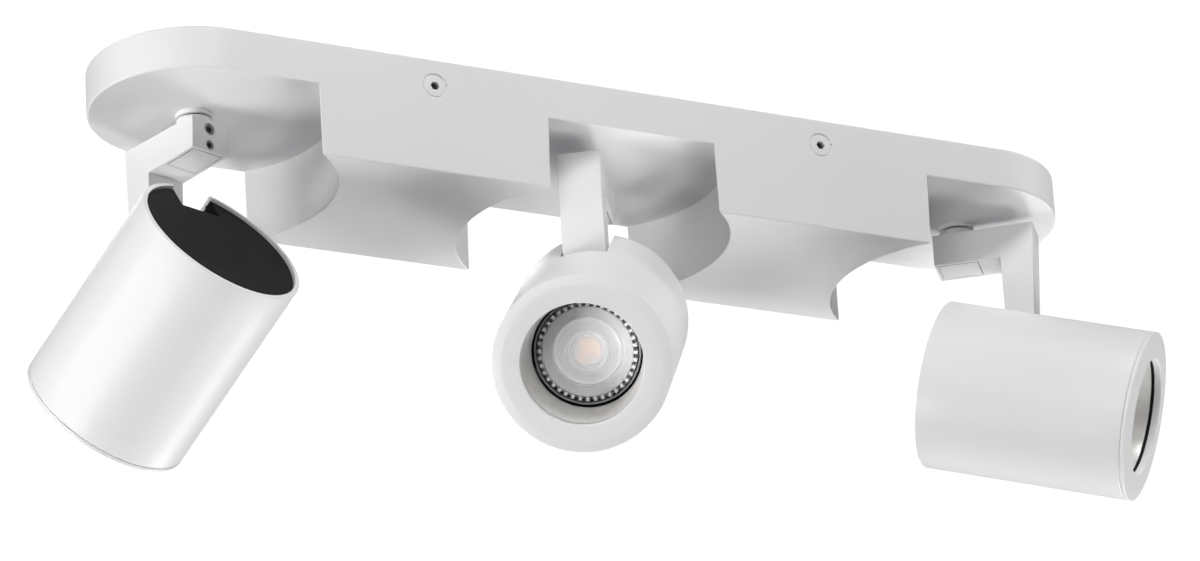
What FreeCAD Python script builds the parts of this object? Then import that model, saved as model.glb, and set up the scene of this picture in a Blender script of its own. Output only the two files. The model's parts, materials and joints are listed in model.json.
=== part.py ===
import FreeCAD, Part
import math
import os

# Ceiling bar with three adjustable spot heads. Millimetres and degrees.
# The origin is the middle of the ceiling face, +X runs along the bar and +Z is up,
# so the whole fitting hangs below z = 0. Each head is drawn hanging straight down
# under its own pan axis ("head frame": x outwards along the arm, z = 0 on the
# underside of the bar), then tilted, panned and moved to its station.

# ---- housing of the bar ----
STATION_PITCH = 201.0        # from one pan axis to the next
HOUSING_WIDTH = 100.0        # at the ceiling
HOUSING_DEPTH = 57.0         # of the thick blocks between the heads
PLATE_DEPTH = 21.0           # of the bar above each head
HOUSING_DRAFT = 1.1          # mould draft of the outer walls
HOUSING_WALL = 2.5
RECESS_RADIUS = 65.3         # concave block ends, round each pan axis

# ---- side screws, M6 countersunk ----
SIDE_SCREW_X = 100.5
SIDE_SCREW_DROP = 13.3       # below the ceiling
SIDE_SCREW_RADIUS = 3.0
SIDE_SCREW_HEAD_RADIUS = 6.0
SIDE_SCREW_LENGTH = 14.0
SIDE_SCREW_HEX = 2.3         # socket half width across corners
SIDE_SCREW_HEX_DEPTH = 3.0
SIDE_BOSS_RADIUS = 8.0
SIDE_BOSS_HEIGHT = 2.5

# ---- ceiling bracket ----
BRACKET_LENGTH = 440.0
BRACKET_WIDTH = 50.0
BRACKET_SHEET = 1.5
BRACKET_TAB_WIDTH = 24.0
BRACKET_TAB_DROP = 24.0
BRACKET_TAB_GAP = 0.3        # between a tab and the boss of the housing
CEILING_SLOT_SPACING = 300.0
CEILING_SLOT_RADIUS = 2.75
CEILING_SLOT_LENGTH = 14.0
INLET_X = 50.0
INLET_HOLE_RADIUS = 8.0
INLET_BORE_RADIUS = 5.0
GROMMET_FLANGE = 2.5
GROMMET_LIP = 1.5
GROMMET_SLOPE = 0.5
EARTH_X = 78.0
EARTH_THREAD_RADIUS = 2.0
EARTH_WASHER = (4.5, 0.8)    # radius, thickness
EARTH_CUP = (4.2, 1.0)
EARTH_HEAD = (3.6, 2.6)
EARTH_HEAD_BOTTOM = 10.0     # below the ceiling
EARTH_SLOT = (0.8, 1.0)      # width, depth
TERMINAL_X = -58.0
TERMINAL_SIZE = (32.0, 20.0, 15.0)
TERMINAL_WIRE_RADIUS = 1.6
TERMINAL_WIRE_DEPTH = 8.0
TERMINAL_SCREW = (1.9, 5.0, 8.0)   # radius, depth, distance from the middle
TERMINAL_GROOVE = (1.0, 3.0)       # width, depth
LEAD_RADIUS = 1.5
LEAD_BEND = 4.0
LEAD_DROP = 5.5              # lead centre below the ceiling
LEAD_STUD_GAP = 0.5          # above the stud
LEAD_SPREAD = 2.0            # side step of the right lead, in pole spacings
LEAD_STRAIGHT = (30.0, 12.0) # straight ends of the side step

# ---- pan joint ----
STUD_RADIUS = 5.0
STUD_BORE_RADIUS = 3.3
STUD_TOP = 9.5               # above the underside of the bar
STUD_BOTTOM = 14.0           # below the underside of the bar
STUD_NECK_RADIUS = 8.4
BUSH_FLANGE_RADIUS = 8.8
BUSH_FLANGE_THICKNESS = 2.2
BUSH_NECK_RADIUS = 7.0
SLIP_WASHER_RADIUS = 6.8
SLIP_WASHER_THICKNESS = 1.1
STOP_WASHER_RADIUS = 11.0
STOP_WASHER_THICKNESS = 1.5
STOP_WASHER_GAP = 0.1        # above the plate
STOP_TAB_REACH = 17.0
STOP_TAB_WIDTH = 4.0
STOP_POST_RADIUS = 1.5
STOP_POST_OFFSET = 14.5
STOP_POST_HEIGHT = 4.0
NUT_ACROSS_CORNERS = 16.2
NUT_HEIGHT = 3.0
RUNNING_GAP = 0.05           # radial, for turning fits
FITTED_GAP = 0.1             # for pieces that seat in one another

# ---- arm ----
ARM_WIDTH = 20.4
ARM_TOP = 6.9                # below the underside of the bar
ARM_BACK = 11.1              # past the pan axis
ARM_REACH = 39.4             # outer face of the upright, at its top
ARM_REACH_SLOPE = 0.072      # the outer face leans in by this much per mm
ARM_INNER = 21.8             # inner face of the upright
ARM_FLOOR_BACK = 22.95       # underside of the top limb, at the back end
ARM_FLOOR_CORNER = 23.85     # and at the upright
ARM_TOE = 7.0                # below the tilt axis
ARM_TOE_ROUND = 4.5
COVER_LENGTH = 19.4
COVER_WIDTH = 16.0
COVER_CENTRE = 0.5
COVER_THICKNESS = 0.9
COVER_SLIT = 0.35
POCKET_LENGTH = 14.0
POCKET_WIDTH = 12.0
CHANNEL_RADIUS = 3.2
ARM_LEAD_RADIUS = 2.2
ARM_LEAD_BEND = 5.0
ARM_LEAD_LEVEL = 17.6        # below the underside of the bar
ARM_LEAD_X = 28.4
UPPER_SET_SCREW = (11.4, 3.0)   # drop, radius
LOWER_SET_SCREW = (19.5, 2.4)
SET_SCREW_SINK = 0.6
SET_SCREW_HEX = 0.58         # socket corner radius as a share of the screw's
SET_SCREW_HEX_DEPTH = 2.0
STUD_HOLE_PAST = 1.0
ARM_LEAD_END = 1.0           # inside the toe

# ---- tilt joint ----
TILT_X = 30.0                # tilt axis from the pan axis
TILT_DROP = 65.5             # below the underside of the bar
TILT_SHOULDER_RADIUS = 3.0
TILT_THREAD_RADIUS = 2.5
TILT_THREAD_LENGTH = 5.5
TILT_HEAD_RADIUS = 5.0
TILT_HEAD_HEIGHT = 2.2
TILT_HEX = 1.7
TILT_HEX_DEPTH = 1.4
EAR_GAP = 0.5
EAR_THICKNESS = 2.0
EAR_LOW = 22.8               # edges of the ear, from the tube's axis
EAR_HIGH = 36.6
EAR_PAST_AXIS = 8.0
EAR_CORNER = 5.0

# ---- spot tube, measured along its axis from the rear rim ----
TUBE_RADIUS = 41.4
TUBE_WALL = 2.2
TUBE_LENGTH = 101.5
TILT_FROM_REAR = 38.0
SLOT_HALF_WIDTH = 11.0
SLOT_PAST_AXIS = 6.6
SLOT_CORNER = 2.0
LEDGE_DEPTH = 1.8
LEDGE_WIDTH = 2.0
LEDGE_CLEARANCE = 1.5        # beside the yoke's ears
CAP_INSET = 1.2
CAP_THICKNESS = 2.7
CAP_CHAMFER = 0.6
NOTCH_FLOOR = 24.5           # notch floor from the tube's axis
YOKE_SHEET = 1.5
RIM_ROUND = 0.5

# ---- front ring, baffle and reflector ----
RING_SHADOW = 0.3            # groove between tube and ring
RING_THICKNESS = 2.7         # visible edge
RING_BEVEL_RADIUS = 36.9
RING_BEVEL_DEPTH = 0.9
RING_LIP = 1.0
RING_EDGE = 0.3
RING_LIP_SHARE = 0.3         # of the lip, where its chamfer turns
MOUTH_RADIUS = 28.5
MOUTH_DEPTH = 3.5
RING_NECK_WALL = 3.0         # of the threaded neck, inside the tube
BAFFLE_THICKNESS = 1.6
BAFFLE_SETBACK = 0.5
REFLECTOR_WALL = 1.0
REFLECTOR_REAR_RADIUS = 25.9
REFLECTOR_LENGTH = 21.4

# ---- lamp and holder ----
LAMP_RADIUS = 25.0
LAMP_LENGTH = 53.5
LAMP_FACE_GAP = 1.5          # behind the reflector
LAMP_SKIRT = 6.5
LAMP_BASE_RADIUS = 12.8
LAMP_BASE_LENGTH = 10.0
LENS_RADIUS = 21.4
LENS_THICKNESS = 2.6
LENS_SINK = 0.3
PIN_SPACING = 10.0
PIN_RADIUS = 2.35
PIN_LENGTH = 7.4
HOLDER_RADIUS = 13.5
HOLDER_PIN_DEPTH = 8.4
HOLDER_CHAMFER = 1.0
PIN_CLEARANCE = 0.25
LAMP_EDGE = 0.6              # small chamfers of the lamp's face
LENS_EDGE = 0.8
LENS_SLOPE = 2.5
LENS_SEAT_GAP = 0.05

# ---- pose of each head as stored: station, pan, tilt ----
HEADS = (("left", -1, 108.7, 57.5), ("middle", 0, -122.8, 55.5), ("right", 1, -38.6, 71.9))

UP = FreeCAD.Vector(0, 0, 1)
ALONG = FreeCAD.Vector(1, 0, 0)
ACROSS = FreeCAD.Vector(0, 1, 0)
ORIGIN = FreeCAD.Vector(0, 0, 0)
CUT_PAST = 2.0               # how far cutting tools run past a face
SAME_PLACE = 0.001           # for picking out edges by where they lie
TUBE_BORE = TUBE_RADIUS - TUBE_WALL
REAR_DROP = TILT_DROP - TILT_FROM_REAR
SPOT_LENGTH = TUBE_LENGTH + RING_SHADOW + RING_THICKNESS
REFLECTOR_FRONT = SPOT_LENGTH - MOUTH_DEPTH - BAFFLE_THICKNESS
REFLECTOR_REAR = REFLECTOR_FRONT - REFLECTOR_LENGTH
LAMP_FACE = REFLECTOR_REAR - LAMP_FACE_GAP
LAMP_BASE = LAMP_FACE - LAMP_LENGTH
EAR_INNER = ARM_WIDTH / 2 + EAR_GAP
EAR_OUTER = EAR_INNER + EAR_THICKNESS
YOKE_REAR = CAP_INSET + CAP_THICKNESS + FITTED_GAP
YOKE_FRONT = YOKE_REAR + YOKE_SHEET
PLATE_SKIN = PLATE_DEPTH - HOUSING_WALL


def point(x, y, z):
    """A point in the current frame."""
    return FreeCAD.Vector(x, y, z)


def rod(radius, low, high, x=0.0, y=0.0):
    """An upright cylinder between two heights."""
    return Part.makeCylinder(radius, high - low, point(x, y, low))


def block(x_span, y_span, z_span):
    """A box between three pairs of limits."""
    size = [pair[1] - pair[0] for pair in (x_span, y_span, z_span)]
    return Part.makeBox(size[0], size[1], size[2], point(x_span[0], y_span[0], z_span[0]))


def cross_rod(radius, near, far, x, z):
    """A cylinder along Y between two distances."""
    return Part.makeCylinder(radius, far - near, point(x, near, z), ACROSS)


def turned(outline):
    """A solid of revolution about Z from (radius, height) corners."""
    corners = [point(radius, 0, height) for radius, height in outline]
    face = Part.Face(Part.makePolygon(corners + corners[:1]))
    return face.revolve(ORIGIN, UP, 360)


def spot_turned(outline):
    """A solid turned about the tube's axis from (radius, distance from the rear rim) corners."""
    return turned([(radius, -REAR_DROP - distance) for radius, distance in outline])


def hexagon(corner_radius, low, high):
    """An upright hexagonal prism."""
    corners = []
    for step in range(7):
        angle = math.radians(60 * step)
        corners.append(point(corner_radius * math.cos(angle), corner_radius * math.sin(angle), low))
    return Part.Face(Part.makePolygon(corners)).extrude(UP * (high - low))


def aimed(shape, direction, place):
    """Turn a shape drawn along +Z to a direction and move it to a place."""
    rotation = FreeCAD.Rotation(UP, direction)
    shape.Placement = FreeCAD.Placement(place, rotation).multiply(shape.Placement)
    return shape


def cable(route, radius, bend):
    """A round lead: straight runs joined by tangent arcs."""
    edges = []
    start = route[0]
    for before, corner, after in zip(route, route[1:], route[2:]):
        back = (before - corner).normalize()
        ahead = (after - corner).normalize()
        half_angle = back.getAngle(ahead) / 2
        trim = bend / math.tan(half_angle)
        enter = corner + back * trim
        leave = corner + ahead * trim
        inward = (back + ahead).normalize()
        middle = corner + inward * (bend / math.sin(half_angle) - bend)
        edges.append(Part.LineSegment(start, enter).toShape())
        edges.append(Part.Arc(enter, middle, leave).toShape())
        start = leave
    edges.append(Part.LineSegment(start, route[-1]).toShape())
    path = Part.Wire(edges)
    heading = (route[1] - route[0]).normalize()
    ring = Part.Wire([Part.Circle(route[0], heading, radius).toShape()])
    return path.makePipeShell([ring], True, False)


# ---- the bar ----

def drafted_bar(half_width, depth, top=0.0):
    """A bar with round ends whose walls lean in by the draft, from z = top down to z = -depth."""
    lean = math.tan(math.radians(HOUSING_DRAFT))
    wide = half_width + top * lean
    narrow = half_width - depth * lean
    height = depth + top
    corners = [point(-STATION_PITCH, -wide, top), point(-STATION_PITCH, wide, top)]
    corners += [point(-STATION_PITCH, narrow, -depth), point(-STATION_PITCH, -narrow, -depth)]
    middle = Part.Face(Part.makePolygon(corners + corners[:1])).extrude(ALONG * (2 * STATION_PITCH))
    ends = [Part.makeCone(narrow, wide, height, point(side * STATION_PITCH, 0, -depth)) for side in (-1, 1)]
    return middle.fuse(ends).removeSplitter()


def station_clearance(radius, ceiling):
    """What is taken out of the blocks round the three heads, below a level."""
    low = -HOUSING_DEPTH - CUT_PAST
    far = STATION_PITCH + HOUSING_WIDTH
    cutters = [rod(radius, low, ceiling, side * STATION_PITCH) for side in (-1, 0, 1)]
    for span in ((-far, -STATION_PITCH), (STATION_PITCH, far)):
        cutters.append(block(span, (-HOUSING_WIDTH, HOUSING_WIDTH), (low, ceiling)))
    return cutters


def side_screw_places():
    """Where each side screw's head meets the wall, and which way it faces."""
    lean = math.tan(math.radians(HOUSING_DRAFT))
    reach = HOUSING_WIDTH / 2 - SIDE_SCREW_DROP * lean
    return [(x, side, reach) for x in (-SIDE_SCREW_X, SIDE_SCREW_X) for side in (-1, 1)]


def side_rod(radius, side, near, far, x):
    """A cylinder along Y on one side of the bar, at the side screws' height."""
    low, high = sorted((side * near, side * far))
    return cross_rod(radius, low, high, x, -SIDE_SCREW_DROP)


def screw_cone(radius, side, reach, x):
    """The countersunk cone of a side screw, wide end flush with the wall."""
    depth = radius - SIDE_SCREW_RADIUS
    cone = Part.makeCone(SIDE_SCREW_RADIUS, radius, depth, ORIGIN)
    return aimed(cone, point(0, side, 0), point(x, side * (reach - depth), -SIDE_SCREW_DROP))


def housing():
    outer = drafted_bar(HOUSING_WIDTH / 2, HOUSING_DEPTH)
    outer = outer.cut(station_clearance(RECESS_RADIUS, -PLATE_DEPTH))
    inner = drafted_bar(HOUSING_WIDTH / 2 - HOUSING_WALL, HOUSING_DEPTH - HOUSING_WALL, CUT_PAST)
    inner = inner.cut(station_clearance(RECESS_RADIUS + HOUSING_WALL, -PLATE_SKIN))
    inner_half = HOUSING_WIDTH / 2 - HOUSING_WALL
    shell = outer.cut(inner)
    bosses = []
    for x, side, reach in side_screw_places():
        bosses.append(side_rod(SIDE_BOSS_RADIUS, side, inner_half - SIDE_BOSS_HEIGHT, inner_half, x))
    stops = []
    for side in (-1, 0, 1):
        x = side * STATION_PITCH - STOP_POST_OFFSET
        low = -PLATE_SKIN - HOUSING_WALL / 2
        stops.append(rod(STOP_POST_RADIUS, low, -PLATE_SKIN + STOP_POST_HEIGHT, x))
    shell = shell.fuse(bosses + stops)
    cutters = []
    for x, side, reach in side_screw_places():
        clear = SIDE_SCREW_RADIUS + FITTED_GAP
        cutters.append(side_rod(clear, side, inner_half - SIDE_BOSS_HEIGHT - CUT_PAST, reach, x))
        cutters.append(screw_cone(SIDE_SCREW_HEAD_RADIUS + FITTED_GAP, side, reach, x))
        cutters.append(side_rod(SIDE_SCREW_HEAD_RADIUS + FITTED_GAP, side, reach, reach + CUT_PAST, x))
    for side in (-1, 0, 1):
        low = -PLATE_DEPTH - CUT_PAST
        cutters.append(rod(BUSH_NECK_RADIUS, low, -PLATE_SKIN + CUT_PAST, side * STATION_PITCH))
    return shell.cut(cutters)


def side_screws():
    screws = []
    for x, side, reach in side_screw_places():
        tip = reach - SIDE_SCREW_LENGTH
        shank = side_rod(SIDE_SCREW_RADIUS, side, tip, reach - SIDE_SCREW_RADIUS / 2, x)
        body = shank.fuse(screw_cone(SIDE_SCREW_HEAD_RADIUS, side, reach, x))
        socket = hexagon(SIDE_SCREW_HEX, -SIDE_SCREW_HEX_DEPTH, CUT_PAST)
        body = body.cut(aimed(socket, point(0, side, 0), point(x, side * reach, -SIDE_SCREW_DROP)))
        screws.append(body)
    return Part.Compound(screws)


def slot_hole(x, radius, length, low, high):
    """An upright slot along X."""
    half = length / 2 - radius
    ends = [rod(radius, low, high, x - half), rod(radius, low, high, x + half)]
    return block((x - half, x + half), (-radius, radius), (low, high)).fuse(ends)


def ceiling_bracket():
    half_length = BRACKET_LENGTH / 2
    half_width = BRACKET_WIDTH / 2
    plate = block((-half_length, half_length), (-half_width, half_width), (-BRACKET_SHEET, 0))
    tab_face = HOUSING_WIDTH / 2 - HOUSING_WALL - SIDE_BOSS_HEIGHT - BRACKET_TAB_GAP
    half_tab = BRACKET_TAB_WIDTH / 2
    pieces = []
    for x in (-SIDE_SCREW_X, SIDE_SCREW_X):
        span = (x - half_tab, x + half_tab)
        pieces.append(block(span, (-tab_face, tab_face), (-BRACKET_SHEET, 0)))
        pieces.append(block(span, (tab_face - BRACKET_SHEET, tab_face), (-BRACKET_TAB_DROP, 0)))
        pieces.append(block(span, (-tab_face, -tab_face + BRACKET_SHEET), (-BRACKET_TAB_DROP, 0)))
    sheet = plate.fuse(pieces).removeSplitter()
    low, high = -BRACKET_SHEET - CUT_PAST, CUT_PAST
    cutters = []
    for side in (-1, 1):
        x = side * CEILING_SLOT_SPACING / 2
        cutters.append(slot_hole(x, CEILING_SLOT_RADIUS, CEILING_SLOT_LENGTH, low, high))
    cutters.append(rod(INLET_HOLE_RADIUS, low, high, INLET_X))
    cutters.append(rod(EARTH_THREAD_RADIUS, low, high, EARTH_X))
    for x, side, reach in side_screw_places():
        near = tab_face - 2 * BRACKET_SHEET
        cutters.append(side_rod(SIDE_SCREW_RADIUS, side, near, tab_face + CUT_PAST, x))
    return sheet.cut(cutters)


def inlet_grommet():
    flange = INLET_HOLE_RADIUS + GROMMET_FLANGE
    under = -BRACKET_SHEET - GROMMET_LIP
    outline = [(INLET_BORE_RADIUS, 0), (INLET_HOLE_RADIUS, 0), (INLET_HOLE_RADIUS, -BRACKET_SHEET)]
    outline += [(flange, -BRACKET_SHEET), (flange - GROMMET_SLOPE, under), (INLET_BORE_RADIUS, under)]
    grommet = turned(outline)
    grommet.translate(point(INLET_X, 0, 0))
    return grommet


def earth_screw():
    low = -EARTH_HEAD_BOTTOM
    head_top = low + EARTH_HEAD[1]
    half_slot = EARTH_SLOT[0] / 2
    shank = rod(EARTH_THREAD_RADIUS, low, -FITTED_GAP, EARTH_X)
    washer = rod(EARTH_WASHER[0], -BRACKET_SHEET - EARTH_WASHER[1], -BRACKET_SHEET, EARTH_X)
    head = rod(EARTH_HEAD[0], low, head_top, EARTH_X)
    cup = rod(EARTH_CUP[0], head_top, head_top + EARTH_CUP[1], EARTH_X)
    slot_span = (EARTH_X - EARTH_CUP[0], EARTH_X + EARTH_CUP[0])
    recess = block(slot_span, (-half_slot, half_slot), (low - CUT_PAST, low + EARTH_SLOT[1]))
    return shank.fuse([washer, head, cup]).cut(recess)


def terminal_places():
    """The three poles of the terminal block, across Y."""
    return [-TERMINAL_SIZE[1] / 3, 0.0, TERMINAL_SIZE[1] / 3]


def terminal_block():
    length, width, height = TERMINAL_SIZE
    top = -BRACKET_SHEET
    low = top - height
    x_span = (TERMINAL_X - length / 2, TERMINAL_X + length / 2)
    body = block(x_span, (-width / 2, width / 2), (low, top))
    screw_radius, screw_depth, screw_offset = TERMINAL_SCREW
    cutters = []
    for y in terminal_places():
        for side in (-1, 1):
            start = point(TERMINAL_X + side * (length / 2 - TERMINAL_WIRE_DEPTH), y, -LEAD_DROP)
            reach = TERMINAL_WIRE_DEPTH + CUT_PAST
            cutters.append(Part.makeCylinder(TERMINAL_WIRE_RADIUS, reach, start, ALONG * side))
            screw_x = TERMINAL_X + side * screw_offset
            cutters.append(rod(screw_radius, low - CUT_PAST, low + screw_depth, screw_x, y))
    half_groove = TERMINAL_GROOVE[0] / 2
    groove_span = (TERMINAL_X - length, TERMINAL_X + length)
    groove_rise = (low - CUT_PAST, low + TERMINAL_GROOVE[1])
    for y in (-width / 6, width / 6):
        cutters.append(block(groove_span, (y - half_groove, y + half_groove), groove_rise))
    return body.cut(cutters)


def supply_leads():
    """One lead from the terminal block to the top of each pan stud."""
    left_face = TERMINAL_X - TERMINAL_SIZE[0] / 2
    right_face = TERMINAL_X + TERMINAL_SIZE[0] / 2
    poles = terminal_places()
    level = -LEAD_DROP
    start = -PLATE_DEPTH + STUD_TOP + LEAD_STUD_GAP
    far_step, near_step = LEAD_STRAIGHT
    leads = []
    ends = [(-STATION_PITCH, left_face, poles[1]), (0.0, right_face, poles[1])]
    ends.append((STATION_PITCH, right_face, poles[2]))
    for x, face, pole in ends:
        towards = 1 if face > x else -1
        route = [point(x, 0, start), point(x, 0, level)]
        if pole != 0:
            side = pole * LEAD_SPREAD
            route += [point(x + towards * far_step, side, level), point(face + far_step, side, level)]
            route.append(point(face + near_step, pole, level))
        route.append(point(face, pole, level))
        leads.append(cable(route, LEAD_RADIUS, LEAD_BEND))
    return Part.Compound(leads)


def pan_bushes():
    bushes = []
    bore = STUD_RADIUS + RUNNING_GAP
    outline = [(bore, -BUSH_FLANGE_THICKNESS), (BUSH_FLANGE_RADIUS, -BUSH_FLANGE_THICKNESS)]
    outline += [(BUSH_FLANGE_RADIUS, 0), (BUSH_NECK_RADIUS, 0)]
    outline += [(BUSH_NECK_RADIUS, HOUSING_WALL), (bore, HOUSING_WALL)]
    for side in (-1, 0, 1):
        bush = turned(outline)
        bush.translate(point(side * STATION_PITCH, 0, -PLATE_DEPTH))
        bushes.append(bush)
    return Part.Compound(bushes)


# ---- pan joint and arm, head frame ----

def pan_stud():
    gap = BUSH_FLANGE_THICKNESS + SLIP_WASHER_THICKNESS
    outline = [(STUD_BORE_RADIUS, -STUD_BOTTOM), (STUD_RADIUS, -STUD_BOTTOM), (STUD_RADIUS, -ARM_TOP)]
    outline += [(STUD_NECK_RADIUS, -ARM_TOP), (STUD_NECK_RADIUS, -gap), (STUD_RADIUS, -gap)]
    outline += [(STUD_RADIUS, STUD_TOP), (STUD_BORE_RADIUS, STUD_TOP)]
    return turned(outline)


def pan_washers():
    """The slip washer under the bush and the stop washer above it, whose tab meets the post."""
    slip_low = -BUSH_FLANGE_THICKNESS - SLIP_WASHER_THICKNESS
    slip = rod(SLIP_WASHER_RADIUS, slip_low, -BUSH_FLANGE_THICKNESS)
    stop_low = HOUSING_WALL + STOP_WASHER_GAP
    stop_high = stop_low + STOP_WASHER_THICKNESS
    tab = block((0, STOP_TAB_REACH), (-STOP_TAB_WIDTH / 2, STOP_TAB_WIDTH / 2), (stop_low, stop_high))
    stop = rod(STOP_WASHER_RADIUS, stop_low, stop_high).fuse(tab)
    bore = rod(STUD_RADIUS, -STUD_BOTTOM, STUD_TOP)
    return Part.Compound([slip.cut(bore), stop.cut(bore)])


def pan_nut():
    low = HOUSING_WALL + STOP_WASHER_GAP + STOP_WASHER_THICKNESS
    nut = hexagon(NUT_ACROSS_CORNERS / 2, low, low + NUT_HEIGHT)
    return nut.cut(rod(STUD_RADIUS, low - CUT_PAST, low + NUT_HEIGHT + CUT_PAST))


def outer_face(drop):
    """Distance of the upright's outer face from the pan axis, at a drop below the bar."""
    return ARM_REACH - ARM_REACH_SLOPE * (drop - ARM_TOP)


def arm_outline():
    """The L of the arm in the plane y = 0, with a rounded toe, as a solid of the arm's width."""
    toe = TILT_DROP + ARM_TOE
    round_start = toe - ARM_TOE_ROUND
    outer_low = point(outer_face(round_start), 0, -round_start)
    inner_low = point(ARM_INNER, 0, -round_start)
    toe_outer = point(outer_face(toe) - ARM_TOE_ROUND, 0, -toe)
    toe_inner = point(ARM_INNER + ARM_TOE_ROUND, 0, -toe)
    bulge = ARM_TOE_ROUND * (1 - math.sqrt(0.5))
    outer_middle = point(outer_face(toe) - bulge, 0, -toe + bulge)
    inner_middle = point(ARM_INNER + bulge, 0, -toe + bulge)
    back_top = point(-ARM_BACK, 0, -ARM_TOP)
    front_top = point(ARM_REACH, 0, -ARM_TOP)
    corner = point(ARM_INNER, 0, -ARM_FLOOR_CORNER)
    back_low = point(-ARM_BACK, 0, -ARM_FLOOR_BACK)
    edges = [Part.LineSegment(back_top, front_top).toShape()]
    edges.append(Part.LineSegment(front_top, outer_low).toShape())
    edges.append(Part.Arc(outer_low, outer_middle, toe_outer).toShape())
    edges.append(Part.LineSegment(toe_outer, toe_inner).toShape())
    edges.append(Part.Arc(toe_inner, inner_middle, inner_low).toShape())
    edges += [Part.LineSegment(inner_low, corner).toShape(), Part.LineSegment(corner, back_low).toShape()]
    edges.append(Part.LineSegment(back_low, back_top).toShape())
    solid = Part.Face(Part.Wire(edges)).extrude(ACROSS * ARM_WIDTH)
    solid.translate(ACROSS * (-ARM_WIDTH / 2))
    return solid


def arm_lead_route(top, bottom):
    """From above the stud, down its bore, along the top limb and down the upright."""
    level = -ARM_LEAD_LEVEL
    return [point(0, 0, top), point(0, 0, level), point(ARM_LEAD_X, 0, level), point(ARM_LEAD_X, 0, bottom)]


def cover_block(slack):
    """The space of the cover plate in the underside of the top limb."""
    half_length = COVER_LENGTH / 2 + slack
    half_width = COVER_WIDTH / 2 + slack
    x_span = (COVER_CENTRE - half_length, COVER_CENTRE + half_length)
    z_span = (-ARM_FLOOR_CORNER - CUT_PAST, -ARM_FLOOR_BACK + COVER_THICKNESS)
    return block(x_span, (-half_width, half_width), z_span)


def set_screw_shape(drop, radius, inner, sink):
    """A set screw along X from the arm's back face."""
    return Part.makeCylinder(radius, ARM_BACK - sink - inner, point(-ARM_BACK + sink, 0, -drop), ALONG)


def arm():
    body = arm_outline()
    half_pocket = POCKET_LENGTH / 2
    cutters = [rod(STUD_RADIUS + FITTED_GAP / 2, -STUD_BOTTOM, -ARM_TOP + STUD_HOLE_PAST)]
    cutters.append(cover_block(COVER_SLIT))
    pocket_z = (-ARM_FLOOR_BACK, -STUD_BOTTOM)
    pocket_x = (COVER_CENTRE - half_pocket, COVER_CENTRE + half_pocket)
    cutters.append(block(pocket_x, (-POCKET_WIDTH / 2, POCKET_WIDTH / 2), pocket_z))
    toe_end = -TILT_DROP - ARM_TOE - CUT_PAST
    cutters.append(cable(arm_lead_route(-ARM_TOP, toe_end), CHANNEL_RADIUS, ARM_LEAD_BEND))
    cutters.append(set_screw_shape(UPPER_SET_SCREW[0], UPPER_SET_SCREW[1], STUD_BORE_RADIUS, -CUT_PAST))
    pocket_back = half_pocket - COVER_CENTRE
    cutters.append(set_screw_shape(LOWER_SET_SCREW[0], LOWER_SET_SCREW[1], pocket_back, -CUT_PAST))
    half = ARM_WIDTH / 2
    for side in (-1, 1):
        low, high = sorted((side * (half - TILT_THREAD_LENGTH), side * (half + CUT_PAST)))
        cutters.append(cross_rod(TILT_THREAD_RADIUS, low, high, TILT_X, -TILT_DROP))
    return body.cut(cutters)


def arm_cover():
    return cover_block(0).common(arm_outline())


def arm_set_screws():
    screws = []
    pocket_back = POCKET_LENGTH / 2 - COVER_CENTRE
    for drop, radius, inner in (UPPER_SET_SCREW + (STUD_RADIUS,), LOWER_SET_SCREW + (pocket_back,)):
        screw = set_screw_shape(drop, radius, inner, SET_SCREW_SINK)
        socket = hexagon(radius * SET_SCREW_HEX, -SET_SCREW_HEX_DEPTH, CUT_PAST)
        screw = screw.cut(aimed(socket, point(-1, 0, 0), point(-ARM_BACK + SET_SCREW_SINK, 0, -drop)))
        screws.append(screw)
    return Part.Compound(screws)


def arm_lead():
    bottom = -TILT_DROP - ARM_TOE + ARM_LEAD_END
    return cable(arm_lead_route(STUD_TOP, bottom), ARM_LEAD_RADIUS, ARM_LEAD_BEND)


def tilt_screws():
    """Two shoulder screws that carry the ears of the yoke on each side of the upright."""
    screws = []
    half = ARM_WIDTH / 2
    head_low = EAR_OUTER + FITTED_GAP
    for side in (-1, 1):
        spans = [(TILT_THREAD_RADIUS, half - TILT_THREAD_LENGTH, half)]
        spans.append((TILT_SHOULDER_RADIUS, half, head_low))
        spans.append((TILT_HEAD_RADIUS, head_low, head_low + TILT_HEAD_HEIGHT))
        parts = []
        for radius, near, far in spans:
            low, high = sorted((side * near, side * far))
            parts.append(cross_rod(radius, low, high, TILT_X, -TILT_DROP))
        socket = hexagon(TILT_HEX, -TILT_HEX_DEPTH, CUT_PAST)
        place = point(TILT_X, side * (head_low + TILT_HEAD_HEIGHT), -TILT_DROP)
        screws.append(parts[0].fuse(parts[1:]).cut(aimed(socket, point(0, side, 0), place)))
    return Part.Compound(screws)


# ---- spot, head frame, hanging straight down ----

def slot_tool(half_width, floor, rear, front, corner):
    """The arm's way through the tube's wall, open at the rear rim, with rounded front corners."""
    reach = TUBE_RADIUS + CUT_PAST
    low = -REAR_DROP - front
    body = block((floor, reach), (-half_width, half_width), (low, -REAR_DROP - rear))
    if corner == 0:
        return body
    edges = []
    for edge in body.Edges:
        limits = edge.BoundBox
        if limits.XLength > reach / 2 and limits.ZMax < low + SAME_PLACE:
            edges.append(edge)
    return body.makeFillet(corner, edges)


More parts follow.
